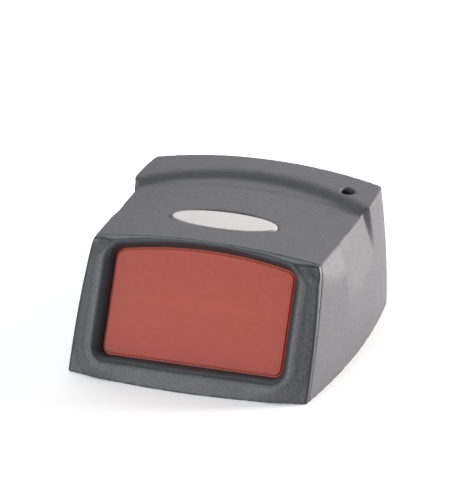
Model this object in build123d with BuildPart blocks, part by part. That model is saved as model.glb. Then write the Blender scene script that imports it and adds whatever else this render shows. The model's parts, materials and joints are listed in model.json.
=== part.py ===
"""Compact fixed-mount laser bar code scanner, built in millimetres.

+X is to the right seen from the front, +Y to the rear and +Z up. The origin is the middle of the
resting face, under the middle of the body's box. The window is at the front, towards -Y.
"""
from build123d import *
from math import atan2, cos, degrees, radians, sin, sqrt
import os

os.makedirs("parts", exist_ok=True)

# ---------------------------------------------------------------- driving dimensions
# The outer body is drawn at two levels and everything between is straight: the resting face, and
# the level of the top's side edges. At each: half width at the corners, side bulge, the front and
# rear corners' y, and the front and rear bulges.
EDGE_Z = 25.2
BASE_LEVEL = (0.0, 26.0, 2.1, -24.85, 28.2, 2.8, 0.4)
EDGE_LEVEL = (EDGE_Z, 24.85, 1.5, -11.75, 27.7, 2.7, 0.4)
FRONT_CORNER_R = 1.2
REAR_CORNER_R = 1.8
INNER_CORNER_R = 1.0
LOFT_TOP = 32.0

ARCH_R = 122.0
MID_CROWN = 27.7
REAR_CROWN = 29.4
STEP_SIDE_Y = 15.3
STEP_BOW = 1.5
STEP_LEAN = 1.1
WAIST_FRONT_Y = 0.8
WAIST_REAR_Y = 16.6
WAIST_TOP_X = 24.6
WAIST_LOW_X = 26.6
WAIST_LOW_Z = 17.0

WALL = 1.6
GAP = 0.1
SKIN = 1.0
PLUG_DEPTH = 3.6

# The window's opening lies on the raked plane through the front corners. The window is a flange
# behind the opening's lip, with a panel on it that fills the opening up to a narrow gap.
RAKE = degrees(atan2(EDGE_LEVEL[3] - BASE_LEVEL[3], EDGE_Z))
WINDOW_W = 39.2
WINDOW_SIDE_H = 21.8
WINDOW_ARCH = 2.1
WINDOW_CORNER_R = 1.7
WINDOW_MID_Z = 14.8
WINDOW_T = 1.2
PANEL_GAP = 0.4
PANEL_DEPTH = 0.8
PANEL_BEVEL = 0.3
LIP_DEPTH = 0.3
LIP_T = 0.6
GASKET_T = 0.3
GASKET_SET_BACK = 0.1
GLASS_DEPTH = LIP_DEPTH + LIP_T + GASKET_T
LEDGE_SIDE = 1.4
LEDGE_END = 0.4
WINDOW_GAP = 0.12
FUNNEL_RISE = 5.0
FUNNEL_SIDE = 4.2
FUNNEL_END = 3.2
FUNNEL_CORNER_R = 3.0

BADGE_Y = -0.3
BADGE_RX = 11.4
BADGE_RY = 4.2
BADGE_GAP = 0.3
BADGE_POCKET = 1.0
BADGE_RISE = 0.75
BADGE_BEVEL = 0.15

LED_X = 19.7
LED_Y = 20.9
LED_HOLE_R = 1.7
PIPE_R = 1.5
PIPE_TOP_Z = 26.7
PIPE_FOOT_Z = 7.8
COLLAR_R = 2.4
COLLAR_Z = 24.2
COLLAR_T = 1.2

BASE_T = 2.2
BASE_FRONT_Y = -20.4
BOARD_Z = 4.2
BOARD_T = 1.2
BOARD_TOP = BOARD_Z + BOARD_T
BOARD_HALF_X = 21.2
BOARD_FRONT_Y = -14.0
BOARD_REAR_Y = 25.5
BOARD_CORNER_R = 1.0

M2_R = 1.0
M2_HEAD_R = 1.8
M2_PAN_R = 1.7
M16_R = 0.8
M16_HEAD_R = 1.4
SCREW_CLEAR = 0.1
THREAD_GAP = 0.02
PAN_SHARE = 0.6
COUNTERSUNK_SLOT = (2.2, 0.5, 0.5)
PAN_SLOT = (0.4, 0.6)
FRONT_SCREWS = [(-22.3, -16.4), (22.3, -16.4)]
REAR_SCREWS = [(-23.2, 14.0), (23.2, 14.0)]
FRONT_SCREW_L = 7.0
REAR_SCREW_L = 8.0
BOSS_R = 2.0
BOSS_FOOT = 0.05
FRONT_BOSS_TOP = 8.0
FRONT_THREAD_TOP = 7.4
REAR_BOSS_TOP = 16.0
REAR_THREAD_TOP = 10.0
BOARD_POSTS = [(-18.8, -11.6), (18.8, -11.6), (-18.8, 12.0), (18.8, 12.0)]
BOARD_POST_R = 1.8
BOARD_SCREW_L = 3.6
BOARD_THREAD_FOOT = 1.4
ENGINE_POSTS = [(-14.6, -7.0), (14.6, -7.0), (-14.6, 8.4), (14.6, 8.4)]
ENGINE_POST_R = 1.9
ENGINE_SCREW_L = 5.6
ENGINE_THREAD_FOOT = 3.0
POST_FOOT = 1.0
BOARD_HOLE_R = 2.2
INSERT_PITCH = 32.0
INSERT_Y = 2.0
INSERT_BORE_R = 1.25
INSERT_R = 2.1
INSERT_L = 3.8
INSERT_BOSS_R = 3.4
INSERT_BOSS_TOP = 4.1
LABEL_W = 26.0
LABEL_H = 9.0
LABEL_Y = -7.0
LABEL_T = 0.12
LABEL_GAP = 0.2
LABEL_POCKET = 0.15

JACK_W = 14.6
JACK_H = 11.6
JACK_D = 14.0
JACK_BACK_Y = 27.6
SOCKET_W = 11.8
SOCKET_H = 7.6
SOCKET_D = 11.0
SOCKET_FLOOR = 1.6
LATCH_W = 4.2
LATCH_D = 8.0
LATCH_RISE = 1.4
JACK_GAP = 0.2
JACK_OPENING_R = 0.6
JACK_WALL_Y = 24.0
CONTACTS = 8
CONTACT_PITCH = 1.25
CONTACT_W = 0.45
CONTACT_T = 0.35
CONTACT_L = 8.0
CONTACT_H = 1.1

CHIP_STANDOFF = 0.2
LEG_L = 0.9
LEG_H = 0.5
LEG_REACH = 0.6
DECODER = (-2, -5, 10, 10, 1.4, 9)
MEMORY = (1, 7, 9, 5.5, 1.2, 7)
CERAMIC_PLACE = (8.5, -5.0)
CERAMIC_PITCH = (3.0, 3.4)
CERAMIC_SIZE = (1.2, 2.0, 1.2)
CAN_PLACES = [(13.4, 19.4), (9.7, 22.0)]
CAN_R = 1.6
CAN_H = 4.5
STATUS_LED_SIZE = (2.8, 2.4, 1.0)
STATUS_LED_DOME_R = 0.9
STATUS_LED_H = 2.0
BEEPER_PLACE = (-14.5, 19.0)
BEEPER_R = 4.8
BEEPER_H = 5.5
BEEPER_EDGE_R = 0.5
BEEPER_HOLE_R = 0.9
BEEPER_HOLE_D = 0.8
CONNECTOR_PLACE = (12.2, 15.8)
CONNECTOR_SIZE = (8.0, 2.6, 2.0)

FLOOR_Z = 8.6
FLOOR_T = 1.2
ENGINE_HALF_X = 18.0
ENGINE_FRONT_Y = -9.6
ENGINE_REAR_Y = 11.6
ENGINE_TOP_Z = 20.4
ENGINE_WALL = 1.2
OPTIC_Z = 15.0
PIVOT = (3.0, 3.0)
SCAN_ANGLE = 45.0
PIN_R = 0.5
PIN_RUNNING = 0.04
HUB_R = 1.5
HUB_H = 7.6
MIRROR_W = 11.0
MIRROR_H = 8.4
MIRROR_T = 0.9
MIRROR_OFFSET = 1.9
MIRROR_CORNER_R = 0.8
HUB_PAD = (6.0, 6.4, 0.7)
HUB_ARM = (2.2, 3.0)
MAGNET_NEAR = 2.3
MAGNET_SIZE = (2.8, 3.0, 1.4)
PIN_SEAT_R = 0.9
PIN_SEAT_GAP = 0.1
PIN_SHORT = 0.6

BARREL_R = 3.0
BARREL_BORE_R = 2.3
BARREL_X = -16.4
BARREL_L = 7.4
CRADLE_SHORT = 1.0
CRADLE_DROP = 1.2
DIODE_FLANGE_T = 1.0
DIODE_CAN_R = 1.6
DIODE_H = 3.0
LENS_SET_BACK = 2.0
LENS_T = 1.2
LENS_CROWN = 0.5
COLLECTOR_X = -7.8
COLLECTOR_SIZE = (1.6, 9.0, 10.0)
COLLECTOR_CURVE_R = 30.0
COLLECTOR_CURVE_X = 30.4
BEAM_HOLE_R = 1.3
DETECTOR = (-9.0, -7.6)
DETECTOR_POST = (4.4, 1.4)
DETECTOR_POST_Y = -0.8
DETECTOR_POST_RISE = 2.2
DETECTOR_SIZE = (4.0, 1.0, 4.0)
DETECTOR_Y = -0.1
FILTER_SIZE = (3.6, 0.6, 3.6)

ENGINE_BOARD_SIZE = (32.0, 0.8, 10.0)
ENGINE_BOARD_Z = 9.4
ENGINE_CHIP_PLACE = (-11.5, 14.6)
ENGINE_CHIP_SIZE = (6.0, 1.0, 6.0)
FLEX_W = 6.0
FLEX_T = 0.2
FLEX_RISE = 6.0
FLEX_LIFT = 1.0
FLEX_END_Y = 14.5

COIL_NEAR = 4.3
COIL_T = 2.0
COIL_R = 2.6
COIL_CORE_R = 1.2
COIL_POST_W = 3.0
FLANGE_R = 2.8
FLANGE_T = 0.3

# ---------------------------------------------------------------- what cutting solids share
REACH = 40.0
FAR = 60.0
UP = (Align.CENTER, Align.CENTER, Align.MIN)
UP_REARWARD = (Align.CENTER, Align.MIN, Align.MIN)
UP_FORWARD = (Align.CENTER, Align.MAX, Align.MIN)
REARWARD = (Align.CENTER, Align.MIN, Align.CENTER)


# ---------------------------------------------------------------- shared outlines and solids
def at_level(z):
    """The body's plan at height z, on the straight lines between the two drawn levels."""
    share = z / EDGE_Z
    return [low + (high - low) * share for low, high in zip(BASE_LEVEL[1:], EDGE_LEVEL[1:])]


def plan_outline(z, inset, front_inset):
    """Draws the body's plan at height z, pulled in at the sides and rear, and at the front."""
    half, side_bulge, front_y, rear_y, front_bulge, rear_bulge = at_level(z)
    half = half - inset
    front_y = front_y + front_inset
    rear_y = rear_y - inset
    middle_y = (front_y + rear_y) / 2
    with BuildSketch(Plane.XY.offset(z)) as outline:
        with BuildLine():
            ThreePointArc((-half, front_y), (0, front_y - front_bulge), (half, front_y))
            ThreePointArc((half, front_y), (half + side_bulge, middle_y), (half, rear_y))
            ThreePointArc((half, rear_y), (0, rear_y + rear_bulge), (-half, rear_y))
            ThreePointArc((-half, rear_y), (-half - side_bulge, middle_y), (-half, front_y))
        make_face()
        fillet(outline.vertices().sort_by(Axis.Y)[:2], FRONT_CORNER_R)
        fillet(outline.vertices().sort_by(Axis.Y)[-2:], max(REAR_CORNER_R - inset, INNER_CORNER_R))
    return outline.sketch


def under_arch(crown):
    """Everything under the arched top whose middle is at height crown."""
    edge = crown - ARCH_R + sqrt(ARCH_R**2 - REACH**2)
    with BuildPart() as space:
        with BuildSketch(Plane.XZ):
            with BuildLine():
                ThreePointArc((-REACH, edge), (0, crown), (REACH, edge))
                Polyline((REACH, edge), (REACH, -REACH), (-REACH, -REACH), (-REACH, edge))
            make_face()
        extrude(amount=FAR, both=True)
    return space.part


def ahead_of_step(shift):
    """Everything ahead of the leaning, bowed step between the middle and the rear section."""
    middle_y = STEP_SIDE_Y + shift - STEP_LEAN * EDGE_Z + STEP_BOW
    end_y = middle_y - STEP_BOW * (REACH / WAIST_TOP_X) ** 2
    with BuildPart() as space:
        with BuildSketch(Plane.XY):
            with BuildLine():
                ThreePointArc((-REACH, end_y), (0, middle_y), (REACH, end_y))
                Polyline((REACH, end_y), (REACH, -2 * FAR), (-REACH, -2 * FAR), (-REACH, end_y))
            make_face()
        extrude(amount=REACH * sqrt(1 + STEP_LEAN**2), dir=(0, STEP_LEAN, 1))
    return space.part


def waist_cut(side, inset):
    """The leaning slice taken off one side of the middle section, from the brow to the step."""
    slope = (WAIST_LOW_X - WAIST_TOP_X) / (EDGE_Z - WAIST_LOW_Z)
    top_x = WAIST_TOP_X - inset - slope * (LOFT_TOP - EDGE_Z)
    low_x = WAIST_LOW_X - inset
    with BuildPart() as cut:
        with BuildSketch(Plane.XZ.offset(-WAIST_FRONT_Y)):
            with BuildLine():
                Polyline(
                    (side * top_x, LOFT_TOP),
                    (side * low_x, WAIST_LOW_Z),
                    (side * REACH, WAIST_LOW_Z),
                    (side * REACH, LOFT_TOP),
                    close=True,
                )
            make_face()
        extrude(amount=-(WAIST_REAR_Y - WAIST_FRONT_Y))
    return cut.part


def over_middle(inset):
    """What is taken off ahead of the step, above the lower arch of the middle section."""
    with BuildPart() as space:
        add(ahead_of_step(inset))
        add(under_arch(MID_CROWN - inset), mode=Mode.SUBTRACT)
    return space.part


def body_block(inset, front_inset, low_z):
    """The outer body (no insets), or the space inside its walls, from height low_z up."""
    with BuildPart() as block:
        add(plan_outline(low_z, inset, front_inset))
        add(plan_outline(LOFT_TOP, inset, front_inset))
        loft(ruled=True)
        add(under_arch(REAR_CROWN - inset), mode=Mode.INTERSECT)
        add(over_middle(inset), mode=Mode.SUBTRACT)
        add(waist_cut(1, inset), mode=Mode.SUBTRACT)
        add(waist_cut(-1, inset), mode=Mode.SUBTRACT)
    return block.part


def behind_front(set_back):
    """Everything behind the bowed, raked front face when that face is moved to the rear."""
    with BuildPart() as space:
        for z in (-2.0, LOFT_TOP):
            half, _, front_y, _, front_bulge, _ = at_level(z)
            corner_y = front_y + set_back
            with BuildSketch(Plane.XY.offset(z)):
                with BuildLine():
                    ThreePointArc((-half, corner_y), (0, corner_y - front_bulge), (half, corner_y))
                    Polyline(
                        (half, corner_y),
                        (REACH, corner_y),
                        (REACH, FAR),
                        (-REACH, FAR),
                        (-REACH, corner_y),
                        (-half, corner_y),
                    )
                make_face()
        loft(ruled=True)
    return space.part


def window_plane(depth):
    """The raked plane through the front corners, moved into the body; its y runs up the window."""
    tilt = radians(RAKE)
    middle_y = BASE_LEVEL[3] + WINDOW_MID_Z * sin(tilt) / cos(tilt)
    inward = (0, cos(tilt), -sin(tilt))
    centre = (0, middle_y + inward[1] * depth, WINDOW_MID_Z + inward[2] * depth)
    return Plane(origin=centre, x_dir=(1, 0, 0), z_dir=(0, -cos(tilt), sin(tilt)))


def window_outline(plane, side, low, top, corner_r):
    """The window's outline grown by the three margins: straight bottom and sides, arched top."""
    half = WINDOW_W / 2 + side
    bottom = -(WINDOW_SIDE_H + WINDOW_ARCH) / 2 - low
    side_top = bottom + low + WINDOW_SIDE_H + top
    with BuildSketch(plane) as outline:
        with BuildLine():
            Polyline((-half, side_top), (-half, bottom), (half, bottom), (half, side_top))
            ThreePointArc((half, side_top), (0, side_top + WINDOW_ARCH), (-half, side_top))
        make_face()
        fillet(outline.vertices(), corner_r)
    return outline.sketch


def slab(plane, thickness):
    """A large flat slab that starts on plane and goes along its normal."""
    with BuildPart() as block:
        with BuildSketch(plane):
            Rectangle(2 * FAR, 2 * FAR)
        extrude(amount=thickness)
    return block.part


def round_posts(places, radius, low_z, high_z):
    """Upright round posts, or the holes for them, between two heights."""
    with BuildPart() as posts:
        with BuildSketch(Plane.XY.offset(low_z)):
            with Locations(*places):
                Circle(radius)
        extrude(amount=high_z - low_z)
    return posts.part


def countersunk_screws(places, length):
    """M2 screws put in from below, heads flush with the resting face."""
    slot_l, slot_w, slot_d = COUNTERSUNK_SLOT
    with BuildPart() as screws:
        with Locations(*[(x, y, 0) for x, y in places]):
            Cone(M2_HEAD_R, M2_R, M2_HEAD_R - M2_R, align=UP)
            Cylinder(M2_R, length, align=UP)
            Box(slot_w, slot_l, slot_d, align=UP, mode=Mode.SUBTRACT)
            Box(slot_l, slot_w, slot_d, align=UP, mode=Mode.SUBTRACT)
    return screws.part


def pan_screws(places, seat_z, shank_r, head_r, length):
    """Small pan-head screws put in from above, their heads on seat_z."""
    head_h = head_r * PAN_SHARE
    slot_l = head_r * 1.2
    slot_w, slot_d = PAN_SLOT
    with BuildPart() as screws:
        with Locations(*[(x, y, seat_z) for x, y in places]):
            Cylinder(head_r, head_h, align=UP)
            Cylinder(shank_r, length, align=(Align.CENTER, Align.CENTER, Align.MAX))
        with Locations(*[(x, y, seat_z + head_h - slot_d) for x, y in places]):
            Box(slot_w, slot_l, slot_d, align=UP, mode=Mode.SUBTRACT)
            Box(slot_l, slot_w, slot_d, align=UP, mode=Mode.SUBTRACT)
    return screws.part


def turned_plane(distance):
    """An upright plane through the scan mirror's pivot axis, facing its mirror side, moved along."""
    angle = radians(SCAN_ANGLE)
    normal = (-cos(angle), -sin(angle), 0)
    centre = (PIVOT[0] + normal[0] * distance, PIVOT[1] + normal[1] * distance, OPTIC_Z)
    return Plane(origin=centre, x_dir=(sin(angle), -cos(angle), 0), z_dir=normal)


outer_body = body_block(0, 0, 0)
inner_space = body_block(WALL, 0, -1)
plug_space = body_block(WALL + GAP, 0, 0)

# ---------------------------------------------------------------- top housing
jack_middle_z = BOARD_TOP + JACK_H / 2
with BuildPart() as top_housing:
    add(outer_body)
    add(behind_front(SKIN), mode=Mode.INTERSECT)
    add(inner_space, mode=Mode.SUBTRACT)
    add(round_posts(REAR_SCREWS, BOSS_R, BASE_T + BOSS_FOOT, REAR_BOSS_TOP))
    add(round_posts(REAR_SCREWS, M2_R + THREAD_GAP, BASE_T, REAR_THREAD_TOP), mode=Mode.SUBTRACT)
    # the shallow oval recess of the badge, then the light pipe's hole
    with BuildSketch(Plane.XY.offset(MID_CROWN - BADGE_POCKET)):
        with Locations((0, BADGE_Y)):
            Ellipse(BADGE_RX + BADGE_GAP, BADGE_RY + BADGE_GAP)
    extrude(amount=REACH, mode=Mode.SUBTRACT)
    with Locations((LED_X, LED_Y, MID_CROWN - 2 * WALL)):
        Cylinder(LED_HOLE_R, REACH, align=UP, mode=Mode.SUBTRACT)
    # the jack's opening in the rear wall
    with BuildSketch(Plane.XZ.offset(-JACK_WALL_Y)):
        with Locations((0, jack_middle_z)):
            RectangleRounded(JACK_W + 2 * JACK_GAP, JACK_H + 2 * JACK_GAP, JACK_OPENING_R)
    extrude(amount=-REACH, mode=Mode.SUBTRACT)
top_housing.part.label = "top_housing"
export_step(top_housing.part, "parts/top_housing.step")

# ---------------------------------------------------------------- front bezel
# The rounded skin that the front shows, with a plug behind it that fills the housing's mouth.
with BuildPart() as bezel_skin:
    add(outer_body)
    add(behind_front(SKIN), mode=Mode.SUBTRACT)

with BuildPart() as funnel:
    add(window_outline(window_plane(LIP_DEPTH), 0, 0, 0, WINDOW_CORNER_R))
    funnel_mouth = window_plane(LIP_DEPTH - FUNNEL_RISE)
    add(window_outline(funnel_mouth, FUNNEL_SIDE, FUNNEL_END, FUNNEL_END, FUNNEL_CORNER_R))
    loft(ruled=True)

seat_side = LEDGE_SIDE + WINDOW_GAP
seat_end = LEDGE_END + WINDOW_GAP
glass_seat = window_outline(window_plane(LIP_DEPTH + LIP_T), seat_side, seat_end, seat_end, WINDOW_CORNER_R)
with BuildPart() as front_bezel:
    add(plug_space)
    add(slab(window_plane(PLUG_DEPTH), FAR), mode=Mode.INTERSECT)
    add(behind_front(SKIN), mode=Mode.INTERSECT)
    # the plug's lower rear gives way to the base cover
    with Locations((0, BASE_FRONT_Y - GAP, BASE_T + GAP)):
        Box(2 * REACH, FAR, REACH, align=(Align.CENTER, Align.MIN, Align.MAX), mode=Mode.SUBTRACT)
    add(bezel_skin.part)
    add(round_posts(FRONT_SCREWS, BOSS_R, BASE_T + BOSS_FOOT, FRONT_BOSS_TOP))
    add(round_posts(FRONT_SCREWS, M2_R + THREAD_GAP, BASE_T, FRONT_THREAD_TOP), mode=Mode.SUBTRACT)
    # the window's opening, and the wider seat for the glass behind the lip
    add(funnel.part, mode=Mode.SUBTRACT)
    extrude(window_outline(window_plane(0), 0, 0, 0, WINDOW_CORNER_R), amount=-REACH, mode=Mode.SUBTRACT)
    extrude(glass_seat, amount=-REACH, mode=Mode.SUBTRACT)
front_bezel.part.label = "front_bezel"
export_step(front_bezel.part, "parts/front_bezel.step")

# ---------------------------------------------------------------- window and its gasket
glass_plane = window_plane(GLASS_DEPTH)
flange = window_outline(glass_plane, LEDGE_SIDE, LEDGE_END, LEDGE_END, WINDOW_CORNER_R)
panel_r = WINDOW_CORNER_R - PANEL_GAP
panel = window_outline(glass_plane, -PANEL_GAP, -PANEL_GAP, -PANEL_GAP, panel_r)
with BuildPart() as exit_window:
    extrude(flange, amount=-WINDOW_T)
    extrude(panel, amount=GLASS_DEPTH - PANEL_DEPTH)
    front_face = exit_window.faces().sort_by(Axis(glass_plane.origin, glass_plane.z_dir))[-1]
    chamfer(front_face.edges(), PANEL_BEVEL)
exit_window.part.label = "exit_window"
export_step(exit_window.part, "parts/exit_window.step")

gasket_hole = window_outline(glass_plane, GASKET_SET_BACK, GASKET_SET_BACK, GASKET_SET_BACK, WINDOW_CORNER_R)
with BuildPart() as window_gasket:
    extrude(flange, amount=GASKET_T)
    extrude(gasket_hole, amount=GASKET_T, mode=Mode.SUBTRACT)
window_gasket.part.label = "window_gasket"
export_step(window_gasket.part, "parts/window_gasket.step")

# ---------------------------------------------------------------- blank oval badge
with BuildPart() as badge:
    with BuildSketch(Plane.XY.offset(MID_CROWN - BADGE_POCKET)):
        with Locations((0, BADGE_Y)):
            Ellipse(BADGE_RX, BADGE_RY)
    extrude(amount=BADGE_RISE)
    chamfer(badge.edges().group_by(Axis.Z)[-1], BADGE_BEVEL)
badge.part.label = "badge"
export_step(badge.part, "parts/badge.step")

# ---------------------------------------------------------------- indicator light pipe
with BuildPart() as led_light_pipe:
    with Locations((LED_X, LED_Y, PIPE_FOOT_Z)):
        Cylinder(PIPE_R, PIPE_TOP_Z - PIPE_FOOT_Z, align=UP)
    with Locations((LED_X, LED_Y, COLLAR_Z)):
        Cylinder(COLLAR_R, COLLAR_T, align=UP)
led_light_pipe.part.label = "led_light_pipe"
export_step(led_light_pipe.part, "parts/led_light_pipe.step")

# ---------------------------------------------------------------- base cover
insert_places = [(-INSERT_PITCH / 2, INSERT_Y), (INSERT_PITCH / 2, INSERT_Y)]
with BuildPart() as base_cover:
    add(plug_space)
    add(slab(Plane.XY.offset(BASE_T), FAR), mode=Mode.SUBTRACT)
    with Locations((0, BASE_FRONT_Y, -WALL)):
        Box(2 * REACH, REACH, REACH, align=UP_FORWARD, mode=Mode.SUBTRACT)
    add(round_posts(BOARD_POSTS, BOARD_POST_R, POST_FOOT, BOARD_Z))
    add(round_posts(ENGINE_POSTS, ENGINE_POST_R, POST_FOOT, FLOOR_Z))
    add(round_posts(insert_places, INSERT_BOSS_R, POST_FOOT, INSERT_BOSS_TOP))
    add(round_posts(insert_places, INSERT_R, 0, INSERT_L), mode=Mode.SUBTRACT)
    add(round_posts(BOARD_POSTS, M16_R + THREAD_GAP, BOARD_THREAD_FOOT, BOARD_Z), mode=Mode.SUBTRACT)
    add(round_posts(ENGINE_POSTS, M2_R + THREAD_GAP, ENGINE_THREAD_FOOT, FLOOR_Z), mode=Mode.SUBTRACT)
    with Locations(*[(x, y, 0) for x, y in FRONT_SCREWS + REAR_SCREWS]):
        Cone(
            M2_HEAD_R + SCREW_CLEAR,
            M2_R + SCREW_CLEAR,
            M2_HEAD_R - M2_R,
            align=UP,
            mode=Mode.SUBTRACT,
        )
        Cylinder(M2_R + SCREW_CLEAR, 2 * FRONT_BOSS_TOP, mode=Mode.SUBTRACT)
    with Locations((0, LABEL_Y, 0)):
        Box(
            LABEL_W + 2 * LABEL_GAP,
            LABEL_H + 2 * LABEL_GAP,
            2 * LABEL_POCKET,
            mode=Mode.SUBTRACT,
        )
base_cover.part.label = "base_cover"
export_step(base_cover.part, "parts/base_cover.step")

with BuildPart() as base_screws:
    add(countersunk_screws(FRONT_SCREWS, FRONT_SCREW_L))
    add(countersunk_screws(REAR_SCREWS, REAR_SCREW_L))
base_screws.part.label = "base_screws"
export_step(base_screws.part, "parts/base_screws.step")

with BuildPart() as mount_inserts:
    add(round_posts(insert_places, INSERT_R, 0, INSERT_L))
    add(round_posts(insert_places, INSERT_BORE_R, 0, INSERT_L), mode=Mode.SUBTRACT)
mount_inserts.part.label = "mount_inserts"
export_step(mount_inserts.part, "parts/mount_inserts.step")

with BuildPart() as rating_label:
    with Locations((0, LABEL_Y, LABEL_POCKET - LABEL_T)):
        Box(LABEL_W, LABEL_H, LABEL_T, align=UP)
rating_label.part.label = "rating_label"
export_step(rating_label.part, "parts/rating_label.step")

# ---------------------------------------------------------------- main board and its parts
with BuildPart() as main_board:
    with Locations((0, BOARD_FRONT_Y, BOARD_Z)):
        Box(2 * BOARD_HALF_X, BOARD_REAR_Y - BOARD_FRONT_Y, BOARD_T, align=UP_REARWARD)
    fillet(main_board.edges().filter_by(Axis.Z), BOARD_CORNER_R)
    add(round_posts(ENGINE_POSTS, BOARD_HOLE_R, 0, FLOOR_Z), mode=Mode.SUBTRACT)
    add(round_posts(BOARD_POSTS, M16_R + SCREW_CLEAR, 0, FLOOR_Z), mode=Mode.SUBTRACT)
main_board.part.label = "main_board"
export_step(main_board.part, "parts/main_board.step")


def gull_wing_chip(x, y, size_x, size_y, height, legs):
    """A flat chip on the main board, with legs along its two long sides."""
    pitch = size_x / (legs + 1)
    with BuildPart() as chip:
        with Locations((x, y, BOARD_TOP + CHIP_STANDOFF)):
            Box(size_x, size_y, height, align=UP)
        with Locations((x, y, BOARD_TOP)):
            with GridLocations(pitch, size_y + LEG_REACH, legs, 2):
                Box(pitch / 2, LEG_L, LEG_H, align=UP)
    return chip.part


with BuildPart() as decoder_chip:
    add(gull_wing_chip(*DECODER))
decoder_chip.part.label = "decoder_chip"
export_step(decoder_chip.part, "parts/decoder_chip.step")

with BuildPart() as memory_chip:
    add(gull_wing_chip(*MEMORY))
memory_chip.part.label = "memory_chip"
export_step(memory_chip.part, "parts/memory_chip.step")

with BuildPart() as board_capacitors:
    with Locations((*CERAMIC_PLACE, BOARD_TOP)):
        with GridLocations(*CERAMIC_PITCH, 2, 3):
            Box(*CERAMIC_SIZE, align=UP)
    with Locations(*[(x, y, BOARD_TOP) for x, y in CAN_PLACES]):
        Cylinder(CAN_R, CAN_H, align=UP)
board_capacitors.part.label = "board_capacitors"
export_step(board_capacitors.part, "parts/board_capacitors.step")

with BuildPart() as status_led:
    with Locations((LED_X, LED_Y, BOARD_TOP)):
        Box(*STATUS_LED_SIZE, align=UP)
        Cylinder(STATUS_LED_DOME_R, STATUS_LED_H, align=UP)
status_led.part.label = "status_led"
export_step(status_led.part, "parts/status_led.step")

with BuildPart() as beeper:
    with Locations((*BEEPER_PLACE, BOARD_TOP)):
        Cylinder(BEEPER_R, BEEPER_H, align=UP)
    fillet(beeper.edges().group_by(Axis.Z)[-1], BEEPER_EDGE_R)
    with Locations((*BEEPER_PLACE, BOARD_TOP + BEEPER_H - BEEPER_HOLE_D)):
        Cylinder(BEEPER_HOLE_R, BEEPER_HOLE_D, align=UP, mode=Mode.SUBTRACT)
beeper.part.label = "beeper"
export_step(beeper.part, "parts/beeper.step")

with BuildPart() as board_connector:
    with Locations((*CONNECTOR_PLACE, BOARD_TOP)):
        Box(*CONNECTOR_SIZE, align=UP)
board_connector.part.label = "board_connector"
export_step(board_connector.part, "parts/board_connector.step")

with BuildPart() as board_screws:
    add(pan_screws(BOARD_POSTS, BOARD_TOP, M16_R, M16_HEAD_R, BOARD_SCREW_L))
board_screws.part.label = "board_screws"
export_step(board_screws.part, "parts/board_screws.step")

# ---------------------------------------------------------------- cable inlet: a modular jack
with BuildPart() as rear_jack:
    with Locations((0, JACK_BACK_Y, BOARD_TOP)):
        Box(JACK_W, JACK_D, JACK_H, align=UP_FORWARD)
    with Locations((0, JACK_BACK_Y, BOARD_TOP + SOCKET_FLOOR)):
        Box(SOCKET_W, SOCKET_D, SOCKET_H, align=UP_FORWARD, mode=Mode.SUBTRACT)
        Box(LATCH_W, LATCH_D, SOCKET_H + LATCH_RISE, align=UP_FORWARD, mode=Mode.SUBTRACT)
rear_jack.part.label = "rear_jack"
export_step(rear_jack.part, "parts/rear_jack.step")

with BuildPart() as jack_contacts:
    with Locations((0, JACK_BACK_Y - SOCKET_D, BOARD_TOP + SOCKET_FLOOR)):
        with GridLocations(CONTACT_PITCH, 1, CONTACTS, 1):
            Box(CONTACT_W, CONTACT_L, CONTACT_T, align=UP_REARWARD)
            Box(CONTACT_W, CONTACT_T, CONTACT_H, align=UP_REARWARD)
jack_contacts.part.label = "jack_contacts"
export_step(jack_contacts.part, "parts/jack_contacts.step")

# ---------------------------------------------------------------- scan engine: chassis and boards
beam_y = turned_plane(MIRROR_OFFSET).origin.Y
along_beam = (0, 90, 0)
barrel_end = Location((BARREL_X, beam_y, OPTIC_Z), along_beam)
engine_len = ENGINE_REAR_Y - ENGINE_FRONT_Y
with BuildPart() as engine_chassis:
    with Locations((0, ENGINE_FRONT_Y, FLOOR_Z)):
        Box(2 * ENGINE_HALF_X, engine_len, ENGINE_TOP_Z - FLOOR_Z, align=UP_REARWARD)
    # hollow it, open at the top and the front
    with Locations((0, ENGINE_REAR_Y - ENGINE_WALL, FLOOR_Z + FLOOR_T)):
        Box(
            2 * (ENGINE_HALF_X - ENGINE_WALL),
            engine_len,
            REACH,
            align=UP_FORWARD,
            mode=Mode.SUBTRACT,
        )
    # cradle of the laser barrel, post of the detector, seat of the mirror's pin
    with Locations((BARREL_X + BARREL_L / 2, beam_y, FLOOR_Z)):
        Box(BARREL_L - CRADLE_SHORT, 2 * BARREL_R, OPTIC_Z - FLOOR_Z - CRADLE_DROP, align=UP)
    with Locations((DETECTOR[0], DETECTOR[1] + DETECTOR_POST_Y, FLOOR_Z)):
        Box(*DETECTOR_POST, OPTIC_Z + DETECTOR_POST_RISE - FLOOR_Z, align=UP)
    with Locations((*PIVOT, FLOOR_Z)):
        Cylinder(PIN_SEAT_R, OPTIC_Z - HUB_H / 2 - PIN_SEAT_GAP - FLOOR_Z, align=UP)
        Cylinder(PIN_R, REACH, align=UP, mode=Mode.SUBTRACT)
    with Locations(barrel_end):
        Cylinder(BARREL_R, BARREL_L, align=UP, mode=Mode.SUBTRACT)
    add(round_posts(ENGINE_POSTS, M2_R + SCREW_CLEAR, BOARD_TOP, FLOOR_Z + 2 * FLOOR_T), mode=Mode.SUBTRACT)
engine_chassis.part.label = "engine_chassis"
export_step(engine_chassis.part, "parts/engine_chassis.step")

with BuildPart() as engine_screws:
    add(pan_screws(ENGINE_POSTS, FLOOR_Z + FLOOR_T, M2_R, M2_PAN_R, ENGINE_SCREW_L))
engine_screws.part.label = "engine_screws"
export_step(engine_screws.part, "parts/engine_screws.step")

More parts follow.
